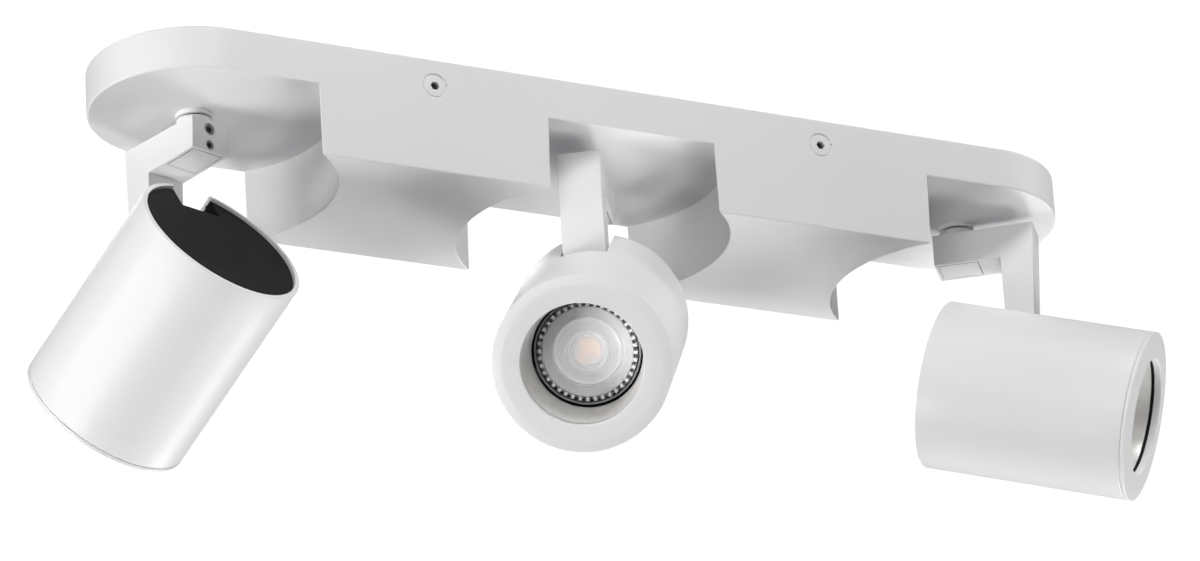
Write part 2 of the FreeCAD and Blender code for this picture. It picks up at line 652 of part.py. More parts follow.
def tube():
    ledge = TUBE_BORE - LEDGE_DEPTH
    rim = RIM_ROUND
    rear_ledge = YOKE_FRONT + FITTED_GAP
    front_ledge = REFLECTOR_FRONT - REFLECTOR_WALL - FITTED_GAP
    outline = [(TUBE_BORE, 0), (TUBE_RADIUS - rim, 0), (TUBE_RADIUS, rim), (TUBE_RADIUS, TUBE_LENGTH - rim)]
    outline += [(TUBE_RADIUS - rim, TUBE_LENGTH), (TUBE_BORE, TUBE_LENGTH)]
    for start, end in ((front_ledge, front_ledge - LEDGE_WIDTH), (rear_ledge + LEDGE_WIDTH, rear_ledge)):
        outline += [(TUBE_BORE, start), (ledge, start), (ledge, end), (TUBE_BORE, end)]
    body = spot_turned(outline)
    slot = slot_tool(SLOT_HALF_WIDTH, 0, -CUT_PAST, TILT_FROM_REAR + SLOT_PAST_AXIS, SLOT_CORNER)
    gap_rear, gap_front = rear_ledge - SAME_PLACE, rear_ledge + LEDGE_WIDTH + SAME_PLACE
    ledge_gap = slot_tool(EAR_OUTER + LEDGE_CLEARANCE, 0, gap_rear, gap_front, 0)
    ledge_gap = ledge_gap.common(rod(TUBE_BORE, -REAR_DROP - TUBE_LENGTH, -REAR_DROP))
    return body.cut([slot, ledge_gap])


def rear_cap():
    edge = TUBE_BORE - FITTED_GAP
    back = CAP_INSET
    front = CAP_INSET + CAP_THICKNESS
    chamfer = CAP_CHAMFER
    outline = [(0, back), (edge - chamfer, back), (edge, back + chamfer), (edge, front), (0, front)]
    disc = spot_turned(outline)
    return disc.cut(slot_tool(SLOT_HALF_WIDTH, NOTCH_FLOOR, 0, front + CUT_PAST, 0))


def yoke():
    """A plate across the tube with two ears folded forward beside the arm."""
    rim = TUBE_BORE - FITTED_GAP
    plate = spot_turned([(0, YOKE_REAR), (rim, YOKE_REAR), (rim, YOKE_FRONT), (0, YOKE_FRONT)])
    plate = plate.cut(slot_tool(EAR_INNER, NOTCH_FLOOR, 0, YOKE_FRONT + CUT_PAST, 0))
    far = TILT_FROM_REAR + EAR_PAST_AXIS
    parts = []
    for side in (-1, 1):
        y_span = sorted((side * EAR_INNER, side * EAR_OUTER))
        tip = -REAR_DROP - far
        ear = block((EAR_LOW, EAR_HIGH), y_span, (tip, -REAR_DROP - YOKE_REAR))
        edges = []
        for edge in ear.Edges:
            if edge.BoundBox.YLength > EAR_THICKNESS / 2 and edge.BoundBox.ZMax < tip + SAME_PLACE:
                edges.append(edge)
        parts.append(ear.makeFillet(EAR_CORNER, edges))
    body = plate.fuse(parts).removeSplitter()
    hole = TILT_SHOULDER_RADIUS + RUNNING_GAP
    return body.cut(cross_rod(hole, -EAR_OUTER - CUT_PAST, EAR_OUTER + CUT_PAST, TILT_X, -TILT_DROP))


def pin_rods(radius, start, end):
    """The two contact pins of the lamp, or their holes."""
    return [rod(radius, -REAR_DROP - end, -REAR_DROP - start, 0, side * PIN_SPACING / 2) for side in (-1, 1)]


def lamp_holder():
    front = LAMP_BASE - FITTED_GAP
    back = YOKE_FRONT
    chamfer = HOLDER_CHAMFER
    outline = [(0, back), (HOLDER_RADIUS, back), (HOLDER_RADIUS, front - chamfer)]
    outline += [(HOLDER_RADIUS - chamfer, front), (0, front)]
    holes = pin_rods(PIN_RADIUS + PIN_CLEARANCE, front - HOLDER_PIN_DEPTH, front + CUT_PAST)
    return spot_turned(outline).cut(holes)


def lamp():
    """A reflector lamp with a two-pin base; its lens sits in the recess of the face."""
    taper_end = LAMP_FACE - LAMP_SKIRT
    lens_seat = LAMP_FACE - LENS_SINK - LENS_THICKNESS
    base_end = LAMP_BASE + LAMP_BASE_LENGTH
    outline = [(0, LAMP_BASE), (LAMP_BASE_RADIUS, LAMP_BASE), (LAMP_BASE_RADIUS, base_end)]
    outline += [(LAMP_RADIUS, taper_end), (LAMP_RADIUS, LAMP_FACE - LAMP_EDGE)]
    outline += [(LAMP_RADIUS - LAMP_EDGE, LAMP_FACE), (LENS_RADIUS + FITTED_GAP, LAMP_FACE)]
    outline += [(LENS_RADIUS + FITTED_GAP, lens_seat), (0, lens_seat)]
    pins = pin_rods(PIN_RADIUS, LAMP_BASE - PIN_LENGTH, LAMP_BASE + CUT_PAST)
    return spot_turned(outline).fuse(pins)


def lamp_lens():
    back = LAMP_FACE - LENS_SINK - LENS_THICKNESS + LENS_SEAT_GAP
    front = LAMP_FACE - LENS_SINK
    outline = [(0, back), (LENS_RADIUS, back), (LENS_RADIUS, front - LENS_EDGE)]
    outline += [(LENS_RADIUS - LENS_SLOPE, front), (0, front)]
    return spot_turned(outline)


def reflector():
    back, front = REFLECTOR_REAR, REFLECTOR_FRONT
    wall = REFLECTOR_WALL
    rim = TUBE_BORE - FITTED_GAP
    outline = [(REFLECTOR_REAR_RADIUS, back), (REFLECTOR_REAR_RADIUS + wall, back)]
    outline += [(MOUTH_RADIUS + wall, front - wall), (rim, front - wall)]
    outline += [(rim, front), (MOUTH_RADIUS, front)]
    return spot_turned(outline)


def baffle_ring():
    back, front = REFLECTOR_FRONT, REFLECTOR_FRONT + BAFFLE_THICKNESS
    bore, rim = MOUTH_RADIUS + BAFFLE_SETBACK, TUBE_BORE - RING_NECK_WALL - FITTED_GAP
    return spot_turned([(bore, back), (rim, back), (rim, front), (bore, front)])


def front_ring():
    neck = TUBE_BORE - FITTED_GAP
    seat = REFLECTOR_FRONT + BAFFLE_THICKNESS
    skirt = TUBE_LENGTH + RING_SHADOW
    lip = RING_LIP
    face = SPOT_LENGTH
    edge = RING_EDGE
    shoulder = RING_LIP_SHARE * lip
    neck_bore = TUBE_BORE - RING_NECK_WALL
    outline = [(MOUTH_RADIUS, seat), (neck_bore, seat), (neck_bore, REFLECTOR_FRONT)]
    outline += [(neck, REFLECTOR_FRONT), (neck, skirt), (TUBE_RADIUS - edge, skirt)]
    outline += [(TUBE_RADIUS, skirt + edge), (TUBE_RADIUS, face - RING_BEVEL_DEPTH)]
    outline += [(RING_BEVEL_RADIUS, face), (MOUTH_RADIUS + lip, face)]
    outline += [(MOUTH_RADIUS + shoulder, face - shoulder), (MOUTH_RADIUS, face - lip)]
    return spot_turned(outline)


# ---- placing and writing ----

def on_arm(shape, station, pan):
    """Pan a head-frame shape and hang it at its station."""
    shape.rotate(ORIGIN, UP, pan)
    shape.translate(point(station * STATION_PITCH, 0, -PLATE_DEPTH))
    return shape


def on_spot(shape, station, pan, tilt):
    """Tilt a head-frame shape about the tilt axis, then pan and hang it."""
    shape.rotate(point(TILT_X, 0, -TILT_DROP), ACROSS, -tilt)
    return on_arm(shape, station, pan)


BAR_PARTS = (
    ("housing", housing), ("housing_side_screws", side_screws), ("ceiling_bracket", ceiling_bracket),
    ("inlet_grommet", inlet_grommet), ("earth_screw", earth_screw), ("terminal_block", terminal_block),
    ("supply_leads", supply_leads), ("pan_bushes", pan_bushes))
ARM_PARTS = (
    ("pan_stud", pan_stud), ("pan_washers", pan_washers), ("pan_nut", pan_nut), ("arm", arm),
    ("arm_cover", arm_cover), ("arm_set_screws", arm_set_screws), ("arm_lead", arm_lead),
    ("tilt_screws", tilt_screws))
SPOT_PARTS = (
    ("tube", tube), ("rear_cap", rear_cap), ("yoke", yoke), ("lamp_holder", lamp_holder),
    ("lamp", lamp), ("lamp_lens", lamp_lens), ("reflector", reflector),
    ("baffle_ring", baffle_ring), ("front_ring", front_ring))


def write(name, shape):
    """Write one sub-part and print what it holds."""
    shape.exportStep(os.path.join("parts", name + ".step"))
    state = "valid" if shape.isValid() else "INVALID"
    print(name, len(shape.Solids), "solids", round(shape.Volume), "mm3", state)


os.makedirs("parts", exist_ok=True)
for part_name, make in BAR_PARTS:
    write(part_name, make())
for head_name, head_station, head_pan, head_tilt in HEADS:
    for part_name, make in ARM_PARTS:
        write(head_name + "_" + part_name, on_arm(make(), head_station, head_pan))
    for part_name, make in SPOT_PARTS:
        write(head_name + "_" + part_name, on_spot(make(), head_station, head_pan, head_tilt))
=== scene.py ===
import json
import math
import bmesh
import bpy
import numpy as np
from mathutils import Matrix, Vector


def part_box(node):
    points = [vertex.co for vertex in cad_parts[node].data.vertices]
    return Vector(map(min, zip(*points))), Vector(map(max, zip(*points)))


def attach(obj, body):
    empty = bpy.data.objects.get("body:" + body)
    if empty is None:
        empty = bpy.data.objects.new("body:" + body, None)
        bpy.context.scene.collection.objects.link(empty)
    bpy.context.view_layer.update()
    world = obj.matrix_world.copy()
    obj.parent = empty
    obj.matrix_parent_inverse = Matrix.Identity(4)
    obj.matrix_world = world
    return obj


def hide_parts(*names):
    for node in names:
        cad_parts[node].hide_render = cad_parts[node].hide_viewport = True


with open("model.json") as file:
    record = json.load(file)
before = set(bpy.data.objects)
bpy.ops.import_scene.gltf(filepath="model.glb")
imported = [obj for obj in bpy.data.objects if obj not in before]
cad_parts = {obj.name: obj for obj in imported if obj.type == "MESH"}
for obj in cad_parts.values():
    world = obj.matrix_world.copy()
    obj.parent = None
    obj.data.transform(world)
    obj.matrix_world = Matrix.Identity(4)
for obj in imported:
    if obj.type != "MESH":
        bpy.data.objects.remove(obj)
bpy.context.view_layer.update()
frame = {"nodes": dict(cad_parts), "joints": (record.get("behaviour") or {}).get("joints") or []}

# Shapes are worked out in millimetres and put into the meshes in metres.
MM = 0.001
HEADS = ("left", "middle", "right")
JOINTS = {joint["name"]: joint for joint in frame["joints"]}

# ---- sizes of the bar ----
PLATE_DEPTH = 21.0
BLOCK_DEPTH = 57.0
SIDE_SCREW_X = 100.5
SIDE_SCREW_DROP = 13.3
SIDE_SCREW_HEAD = 6.0
STATIONS = (-201.0, 0.0, 201.0)
EDGE_ROUND = 0.9
COUNTERSINK_ROUND = 0.25

# ---- sizes of a spot, measured along its axis from the rear rim ----
TILT_OFFSET = 30.0
TILT_FROM_REAR = 38.0
FULL_TILT = 90.0
TUBE_RADIUS = 41.4
TUBE_BORE = 39.2
TUBE_LENGTH = 101.5
SLOT_HALF = 11.0
SLOT_END = 44.6
SLOT_CORNER = 2.0
FACE = 104.5
RING_REAR = 101.8
MOUTH_RADIUS = 28.5
MOUTH_FLOOR = 101.0
REFLECTOR_FRONT = 99.4
REFLECTOR_REAR = 78.0
REFLECTOR_REAR_RADIUS = 25.9
LAMP_FACE = 76.5
LAMP_RADIUS = 25.0
LAMP_BASE = 23.0
LENS_EDGE = 16.2
BEZEL_EDGE = 21.4
FIN_EDGE = 23.4
FIN_COUNT = 40


# ================================ meshes ================================

def finish_mesh(mesh, crease):
    """Welds a mesh, turns its faces outwards and keeps only edges sharper than the crease angle hard."""
    work = bmesh.new()
    work.from_mesh(mesh)
    bmesh.ops.remove_doubles(work, verts=work.verts, dist=1e-7)
    bmesh.ops.dissolve_degenerate(work, dist=1e-8, edges=work.edges)
    bmesh.ops.recalc_face_normals(work, faces=work.faces)
    work.to_mesh(mesh)
    work.free()
    mesh.polygons.foreach_set("use_smooth", np.ones(len(mesh.polygons), bool))
    mesh.set_sharp_from_angle(angle=math.radians(crease))


def new_piece(name, mesh, body, slot, material, *nodes):
    """Puts a mesh in the scene as a piece that rides on a body and stands for CAD nodes."""
    piece = bpy.data.objects.new(name, mesh)
    bpy.context.scene.collection.objects.link(piece)
    mesh.materials.clear()
    mesh.materials.append(material)
    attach(piece, body)
    if nodes:
        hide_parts(*nodes)
    return piece


def grid_mesh(name, grids, crease=32.0):
    """One mesh from grids of points in metres. A grid is (points, marks, rows close, columns close):
    each point joins its neighbours along both directions, and a direction may close on itself."""
    points, faces, marks, first = [], [], [], 0
    for grid, mark, rows_close, columns_close in grids:
        rows, columns = grid.shape[:2]
        index = first + np.arange(rows * columns).reshape(rows, columns)
        if rows_close:
            index = np.vstack([index, index[:1]])
        if columns_close:
            index = np.hstack([index, index[:, :1]])
        quads = np.stack([index[:-1, :-1], index[1:, :-1], index[1:, 1:], index[:-1, 1:]], -1)
        faces.append(quads.reshape(-1, 4))
        points.append(grid.reshape(-1, 3))
        marks.append(np.broadcast_to(mark, (rows, columns)).reshape(-1))
        first += rows * columns
    mesh = bpy.data.meshes.new(name)
    mesh.from_pydata(np.concatenate(points).tolist(), [], np.concatenate(faces).tolist())
    along = mesh.attributes.new("along", "FLOAT", "POINT")
    along.data.foreach_set("value", np.concatenate(marks).astype(np.float32))
    finish_mesh(mesh, crease)
    return mesh


def eased(profile, radius, steps=4, closed=True):
    """A profile with its corners rounded. Near each corner the line leaves its run at the radius, or half
    the shorter run, and follows the parabola whose two end tangents are the runs."""
    corners = np.array(profile, float)
    count = len(corners)
    share = np.linspace(0, 1, steps + 1)[:, None]
    out = []
    for place in range(count):
        corner = corners[place]
        if not closed and place in (0, count - 1):
            out.append(corner[None])
            continue
        back = corners[place - 1] - corner
        ahead = corners[(place + 1) % count] - corner
        reach = min(radius, np.hypot(*back) * 0.45, np.hypot(*ahead) * 0.45)
        start = corner + back / np.hypot(*back) * reach
        end = corner + ahead / np.hypot(*ahead) * reach
        out.append((1 - share) ** 2 * start + 2 * share * (1 - share) * corner + share ** 2 * end)
    return np.concatenate(out)


def turned_grid(profile, columns, closed=True):
    """A profile of (radius, height) carried round the third axis: x = radius cos(angle), y = radius
    sin(angle). The mark is the distance run along the profile."""
    line = np.array(profile, float)
    angle = np.linspace(0, 2 * np.pi, columns, endpoint=False)
    radius, height = line[:, :1], line[:, 1:]
    points = np.stack([radius * np.cos(angle), radius * np.sin(angle), height + 0 * angle], -1)
    run = np.concatenate([[0], np.cumsum(np.hypot(*np.diff(line, axis=0).T))])
    return points, run[:, None], closed, True


def hexed_grid(hex_radius, depth, profile, columns=96):
    """A screw head about the third axis, from the middle of its socket's floor out over its profile. The
    socket's wall is a hexagon: its radius is the flat's distance over the cosine of the angle from the
    flat's middle. The mark is 1 in the socket and on the flank below the head's face. There the steel is
    uncoated, and its near-black colour paints the shade in the socket and in the groove round the head."""
    angle = np.linspace(0, 2 * np.pi, columns, endpoint=False)
    sixth = np.pi / 3
    hexed = hex_radius * math.cos(sixth / 2) / np.cos(angle % sixth - sixth / 2)
    top = profile[0][1]
    rows = [(0 * angle, top - depth - hex_radius * 0.5), (hexed * 0.9, top - depth), (hexed, top - depth)]
    rows += [(hexed, top - hex_radius * 0.12), (hexed * 1.05, top)]
    rows += [(radius + 0 * angle, height) for radius, height in profile]
    points = [np.stack([r * np.cos(angle), r * np.sin(angle), h + 0 * angle], -1) for r, h in rows]
    # mark 1 in the socket and below the face: uncoated steel, coloured near black to paint the shade there
    bare_and_shaded = [1.0] * 3 + [float(np.mean(height) < top - 0.3) for radius, height in rows[3:]]
    return np.array(points), np.array(bare_and_shaded)[:, None], False, True


def frame_of(axis, side):
    """Three unit directions whose third is the axis and whose first lies along the side."""
    third = np.array(axis, float)
    first = np.array(side, float)
    return first, np.cross(third, first), third


def placed(grid, origin, directions):
    """A grid moved so that its axes lie along three directions from an origin, in metres."""
    points, mark, rows_close, columns_close = grid
    return (np.array(origin) + points @ np.array(directions)) * MM, mark, rows_close, columns_close


def spot_frame(head):
    """A spot's rear centre and directions. The tilt joint's axis is sideways, and what is left of its
    range up to level says how far the spot is tilted."""
    joint = JOINTS[head + "_tilt"]
    sideways = np.array(joint["axis"], float)
    outwards = np.array([-sideways[1], sideways[0], 0.0])
    upwards = np.array([0.0, 0.0, 1.0])
    tilt = math.radians(FULL_TILT - joint["range_deg"][1])
    forwards = outwards * math.sin(tilt) - upwards * math.cos(tilt)
    slotwards = outwards * math.cos(tilt) + upwards * math.sin(tilt)
    pivot = np.array(joint["pos_m"]) / MM
    rear = pivot - TILT_OFFSET * slotwards - TILT_FROM_REAR * forwards
    return rear, (slotwards, sideways, forwards)


def arm_frame(head):
    """A head's pan centre under the bar and its directions: outwards along the arm, across it and up."""
    sideways = np.array(JOINTS[head + "_tilt"]["axis"], float)
    outwards = np.array([-sideways[1], sideways[0], 0.0])
    centre = np.array(JOINTS[head + "_pan"]["pos_m"]) / MM
    return centre, (outwards, -sideways, np.array([0.0, 0.0, 1.0]))


def spot_piece(head, name, grids, slot, material, *nodes, crease=32.0):
    """A piece of a spot from grids drawn about the spot's axis."""
    origin, directions = spot_frame(head)
    mesh = grid_mesh(head + "_" + name, [placed(grid, origin, directions) for grid in grids], crease)
    replaced = [head + "_" + node for node in nodes]
    return new_piece(head + "_" + name, mesh, head + "_spot_body", slot, material, *replaced)


def arm_piece(head, name, grids, slot, material, *nodes):
    """A piece of an arm from grids drawn about the pan axis."""
    origin, directions = arm_frame(head)
    mesh = grid_mesh(head + "_" + name, [placed(grid, origin, directions) for grid in grids])
    replaced = [head + "_" + node for node in nodes]
    return new_piece(head + "_" + name, mesh, head + "_arm_body", slot, material, *replaced)


def welded_copy(node, name, body, slot, material, width, chosen):
    """A CAD node's own surface, welded, with chosen outside edges rounded to a width in millimetres.
    chosen takes the edges' middles, directions and lengths in millimetres and gives each a share of the
    width."""
    mesh = frame["nodes"][node].data.copy()
    mesh.name = name
    work = bmesh.new()
    work.from_mesh(mesh)
    bmesh.ops.remove_doubles(work, verts=work.verts, dist=1e-6)
    bmesh.ops.dissolve_limit(work, angle_limit=math.radians(0.6), verts=work.verts, edges=work.edges)
    layer = work.edges.layers.float.new("bevel_weight_edge")
    edges = [edge for edge in work.edges if edge.is_manifold and edge.is_convex]
    sharp = [edge for edge in edges if edge.calc_face_angle(0) > math.radians(28)]
    ends = np.array([[end.co[:] for end in edge.verts] for edge in sharp]).reshape(-1, 2, 3) / MM
    span = ends[:, 1] - ends[:, 0]
    length = np.linalg.norm(span, axis=1)
    weights = chosen(ends.mean(axis=1), span / length[:, None], length)
    for edge, weight in zip(sharp, weights.tolist()):
        edge[layer] = weight
    work.to_mesh(mesh)
    work.free()
    piece = new_piece(name, mesh, body, slot, material, node)
    if width > 0:
        rounding = piece.modifiers.new("rounded edges", "BEVEL")
        rounding.limit_method = "WEIGHT"
        rounding.width = width * MM
        rounding.segments = 3
        rounding.use_clamp_overlap = False
        bpy.context.view_layer.update()
        solved = bpy.data.meshes.new_from_object(piece.evaluated_get(bpy.context.evaluated_depsgraph_get()))
        piece.modifiers.clear()
        piece.data = solved
    piece.data.polygons.foreach_set("use_smooth", np.ones(len(piece.data.polygons), bool))
    piece.data.set_sharp_from_angle(angle=math.radians(32))
    flat = piece.modifiers.new("flat faces lead", "WEIGHTED_NORMAL")
    flat.keep_sharp = True
    return piece


# ================================ finishes ================================

class Wire:
    """A node's output that can be reckoned with: an operator adds a Math node."""

    def __init__(self, tree, socket):
        self.tree = tree
        self.socket = socket

    def node(self, kind, settings=None, inputs=None, out=0):
        """Adds a node: its type, its settings, then the values or wires of its sockets."""
        made = self.tree.nodes.new(kind)
        for key, value in (settings or {}).items():
            if key == "stops":
                ramp = made.color_ramp
                while len(ramp.elements) < len(value):
                    ramp.elements.new(0.5)
                for element, (place, colour) in zip(ramp.elements, value):
                    element.position = place
                    element.color = colour
            else:
                setattr(made, key, value)
        for key, value in (inputs or {}).items():
            if isinstance(value, Wire):
                self.tree.links.new(value.socket, made.inputs[key])
            else:
                made.inputs[key].default_value = value
        return Wire(self.tree, made.outputs[out])

    def reckon(self, operation, *values):
        return self.node("ShaderNodeMath", {"operation": operation}, dict(enumerate(values)))

    def __add__(self, other):
        return self.reckon("ADD", self, other)

    __radd__ = __add__

    def __sub__(self, other):
        return self.reckon("SUBTRACT", self, other)

    def __rsub__(self, other):
        return self.reckon("SUBTRACT", other, self)

    def __mul__(self, other):
        return self.reckon("MULTIPLY", self, other)

    __rmul__ = __mul__

    def __pow__(self, other):
        return self.reckon("POWER", self, other)

    def clamp(self, low, high):
        return self.reckon("MINIMUM", self.reckon("MAXIMUM", self, low), high)

    def blend(self, dark, light):
        """A colour between two, by this value."""
        settings = {"data_type": "RGBA"}
        return self.node("ShaderNodeMix", settings, {0: self, 6: (*dark, 1), 7: (*light, 1)}, 2)


class Finish:
    """A material with a Principled shader, its coordinates and the wires that vary over it."""

    def __init__(self, name, **uniform):
        self.material = bpy.data.materials.new(name)
        self.material.use_nodes = True
        self.tree = self.material.node_tree
        self.tree.nodes.clear()
        self.shader = self.tree.nodes.new("ShaderNodeBsdfPrincipled")
        output = self.tree.nodes.new("ShaderNodeOutputMaterial")
        self.tree.links.new(self.shader.outputs[0], output.inputs[0])
        for key, value in uniform.items():
            self.shader.inputs[key.replace("_", " ")].default_value = value
        self.start = Wire(self.tree, None)
        self.place = self.start.node("ShaderNodeTexCoord", out=3)

    def noise(self, per_metre, detail=2.0, roughness=0.5, stretch=None):
        """Noise with so many cells to the metre, drawn out along axes by a stretch."""
        where = self.place
        if stretch:
            where = self.start.node("ShaderNodeMapping", inputs={0: where, 3: stretch})
        sockets = {"Vector": where, "Scale": per_metre, "Detail": detail, "Roughness": roughness}
        return self.start.node("ShaderNodeTexNoise", inputs=sockets)

    def mark(self, name):
        """A value stored on the mesh's points."""
        return self.start.node("ShaderNodeAttribute", {"attribute_name": name}, out=2)

    def feed(self, **wires):
        for key, wire in wires.items():
            self.tree.links.new(wire.socket, self.shader.inputs[key.replace("_", " ")])
        return self

    def relief(self, height, depth_mm, strength=1.0):
        """Bump of a height from 0 to 1, so many millimetres deep."""
        sockets = {"Strength": strength, "Distance": depth_mm * MM, "Height": height}
        return self.feed(Normal=self.start.node("ShaderNodeBump", inputs=sockets))


def powder_coat(name, tone):
    """Baked powder paint: a fine orange peel, with tone and sheen that drift a little over the surface."""
    finish = Finish(name, Metallic=0.0, IOR=1.5)
    drift = finish.noise(14, 3)
    peel = finish.noise(1400, 2)
    grain = finish.noise(5200, 1)
    dark = tuple(part * 0.975 for part in tone)
    finish.feed(Base_Color=drift.blend(dark, tone))
    finish.feed(Roughness=0.36 + 0.07 * drift + 0.08 * grain)
    return finish.relief(peel * 0.75 + grain * 0.25, 0.012).material


def painted_screw(name, tone, shaded_steel_tone):
    """A screw with powder paint on the face of its head and near-black uncoated steel where the mark is 1.
    The near-black colour paints the shade in the socket and in the groove round the head.
    """
    finish = Finish(name, Metallic=0.0, IOR=1.5)
    bare_and_shaded = finish.mark("along")
    drift = finish.noise(60, 3)
    grain = finish.noise(3000, 2)
    dark = tuple(part * 0.95 for part in tone)
    painted = drift.blend(dark, tone)
    settings = {"data_type": "RGBA"}
    # where the mark is 1 the colour is near black: painted shade in the socket and round the head
    colour = finish.start.node("ShaderNodeMix", settings, {0: bare_and_shaded, 6: painted, 7: (*shaded_steel_tone, 1)}, 2)
    finish.feed(Base_Color=colour)
    finish.feed(Roughness=0.38 + 0.10 * grain)
    return finish.relief(grain, 0.012).material


def moulded_plastic(name, tone, sheen, texture_mm=0.02, gloss=0.5):
    """Moulded plastic with a spark-eroded grain and faint flow marks."""
    finish = Finish(name, Metallic=0.0, IOR=1.49, Specular_IOR_Level=gloss)
    flow = finish.noise(60, 3, stretch=(1, 1, 0.25))
    grain = finish.noise(3200, 2)
    light = tuple(min(1.0, part * 1.25 + 0.004) for part in tone)
    finish.feed(Base_Color=flow.blend(tone, light))
    finish.feed(Roughness=(sheen - 0.06) + 0.08 * grain + 0.05 * flow)
    return finish.relief(grain, texture_mm).material


def plated_steel(name, tone, sheen, stretch=(1, 1, 12)):
    """Plated or oiled steel with drawn streaks and a cloudy plating."""
    finish = Finish(name, Metallic=1.0)
    streak = finish.noise(420, 3, stretch=stretch)
    cloud = finish.noise(90, 4)
    dark = tuple(part * 0.72 for part in tone)
    finish.feed(Base_Color=(0.6 * streak + 0.4 * cloud).blend(dark, tone))
    finish.feed(Roughness=(sheen - 0.08) + 0.18 * streak + 0.06 * cloud)
    return finish.relief(streak, 0.004).material


def spun_metal(name, tone):
    """Satin anodised spun aluminium: fine lathe lines that follow the mark along the profile, dents left by
    the spinning tool and a soft haze."""
    finish = Finish(name, Metallic=0.2, IOR=1.7)
    along = finish.mark("along")
    joined = finish.start.node("ShaderNodeCombineXYZ", inputs={0: along * 9.0})
    lines = finish.start.node("ShaderNodeTexNoise", inputs={"Vector": joined, "Scale": 1.0, "Detail": 3.0})
    haze = finish.noise(260, 3)
    dents = finish.noise(170, 1)
    dark = tuple(part * 0.80 for part in tone)
    finish.feed(Base_Color=(0.4 * lines + 0.6 * haze).blend(dark, tone))
    finish.feed(Roughness=0.22 + 0.10 * lines + 0.08 * haze)
    return finish.relief(lines * 0.15 + dents * 0.85, 0.25).material


def milky_lens(name):
    """Moulded lens whose rings are clear and milky by turns: the mark is the distance run from its middle.
    The pale bands also paint the highlights on the ring steps, and the emission by the bands is a painted
    glow.
    """
    finish = Finish(name, Metallic=0.0, IOR=1.49, Coat_Weight=0.6, Coat_Roughness=0.06)
    haze = finish.noise(220, 2)
    out = finish.mark("along") * (1.0 / 17.0)
    cloudy = (out + 0.03 * (haze - 0.5)).clamp(0, 1)
    # the stops' pale bands are milky plastic and painted highlights of the ring steps
    stops = ((0.0, 0.06), (0.34, 0.10), (0.44, 0.50), (0.52, 0.95),
             (0.60, 0.42), (0.70, 0.38), (0.84, 0.55), (0.93, 0.98))
    settings = {"stops": [(place, (level, level, level, 1)) for place, level in stops]}
    frost_and_highlight = finish.start.node("ShaderNodeValToRGB", settings, {0: cloudy})
    finish.feed(Base_Color=frost_and_highlight.blend((0.70, 0.71, 0.73), (0.97, 0.975, 0.98)))
    finish.feed(Roughness=0.08 + 0.25 * frost_and_highlight)
    finish.feed(Alpha=0.15 + 0.62 * frost_and_highlight)
    # painted glow: the lens gives off a faint light of its own by its bands
    finish.feed(Emission_Color=frost_and_highlight.blend((0.10, 0.10, 0.10), (0.36, 0.365, 0.38)))
    finish.shader.inputs["Emission Strength"].default_value = 0.35
    return finish.material


def light_source(name):
    """The lamp's emitter: warm phosphor where the mark is high, pale reflector elsewhere. Its emission is a
    painted glow that brightens the lamp's face.
    """
    finish = Finish(name, Metallic=0.0, IOR=1.5)
    warmth = (finish.mark("along") + 0.15 * (finish.noise(900, 2) - 0.5)).clamp(0, 1)
    finish.feed(Base_Color=warmth.blend((0.80, 0.81, 0.83), (0.98, 0.66, 0.40)))
    # painted glow: the emission lights the lamp's face by its warmth mark
    finish.feed(Emission_Color=warmth.blend((0.30, 0.31, 0.33), (1.0, 0.62, 0.36)))
    finish.shader.inputs["Emission Strength"].default_value = 0.75
    finish.feed(Roughness=0.35 + 0.1 * finish.noise(500, 2))
    return finish.material


def wire_sheath(name, tone):
    """Soft PVC insulation, a little waxy and scuffed."""
    finish = Finish(name, Metallic=0.0, IOR=1.53)
    scuff = finish.noise(300, 3)
    dark = tuple(part * 0.8 for part in tone)
    finish.feed(Base_Color=scuff.blend(dark, tone))
    finish.feed(Roughness=0.3 + 0.2 * scuff)
    return finish.relief(scuff, 0.02).material


WHITE = powder_coat("white powder coat", (0.80, 0.802, 0.81))
# the screws' near-black second colour is painted shade for their sockets and the grooves round their heads
SCREW_WHITE = painted_screw("white screw paint", (0.80, 0.802, 0.81), (0.012, 0.012, 0.013))
BLACK = moulded_plastic("black moulding", (0.004, 0.004, 0.0045), 0.60, 0.02, 0.16)
RUBBER = moulded_plastic("black rubber", (0.02, 0.02, 0.02), 0.75, 0.03)
NYLON = moulded_plastic("white nylon", (0.74, 0.74, 0.72), 0.42)
LAMP_GREY = moulded_plastic("lamp bezel plastic", (0.70, 0.705, 0.72), 0.30)
RIM_GREY = moulded_plastic("lamp rim plastic", (0.30, 0.305, 0.31), 0.40)
LAMP_WHITE = moulded_plastic("lamp fin plastic", (0.88, 0.875, 0.86), 0.40)
LAMP_WARM = moulded_plastic("lens bead", (0.92, 0.89, 0.86), 0.30)
# near-black lamp shell: painted shade that darkens the channel round the fins and the gaps between them
SHADED_LAMP_SHELL = moulded_plastic("lamp shell plastic", (0.06, 0.06, 0.063), 0.38)
CERAMIC = moulded_plastic("holder ceramic", (0.72, 0.69, 0.62), 0.35)
ZINC = plated_steel("zinc plated steel", (0.62, 0.63, 0.65), 0.34)
DARK_STEEL = plated_steel("dark oiled steel", (0.30, 0.285, 0.26), 0.36)
BLACK_STEEL = plated_steel("blackened steel", (0.03, 0.03, 0.032), 0.5)
BRASS = plated_steel("brass", (0.72, 0.55, 0.26), 0.32)
SPUN = spun_metal("bright spun aluminium", (1.0, 0.985, 0.96))
LENS = milky_lens("lamp lens")
EMITTER = light_source("lamp emitter")
SHEATH = wire_sheath("brown lead", (0.16, 0.07, 0.035))


# ================================ the bar ================================

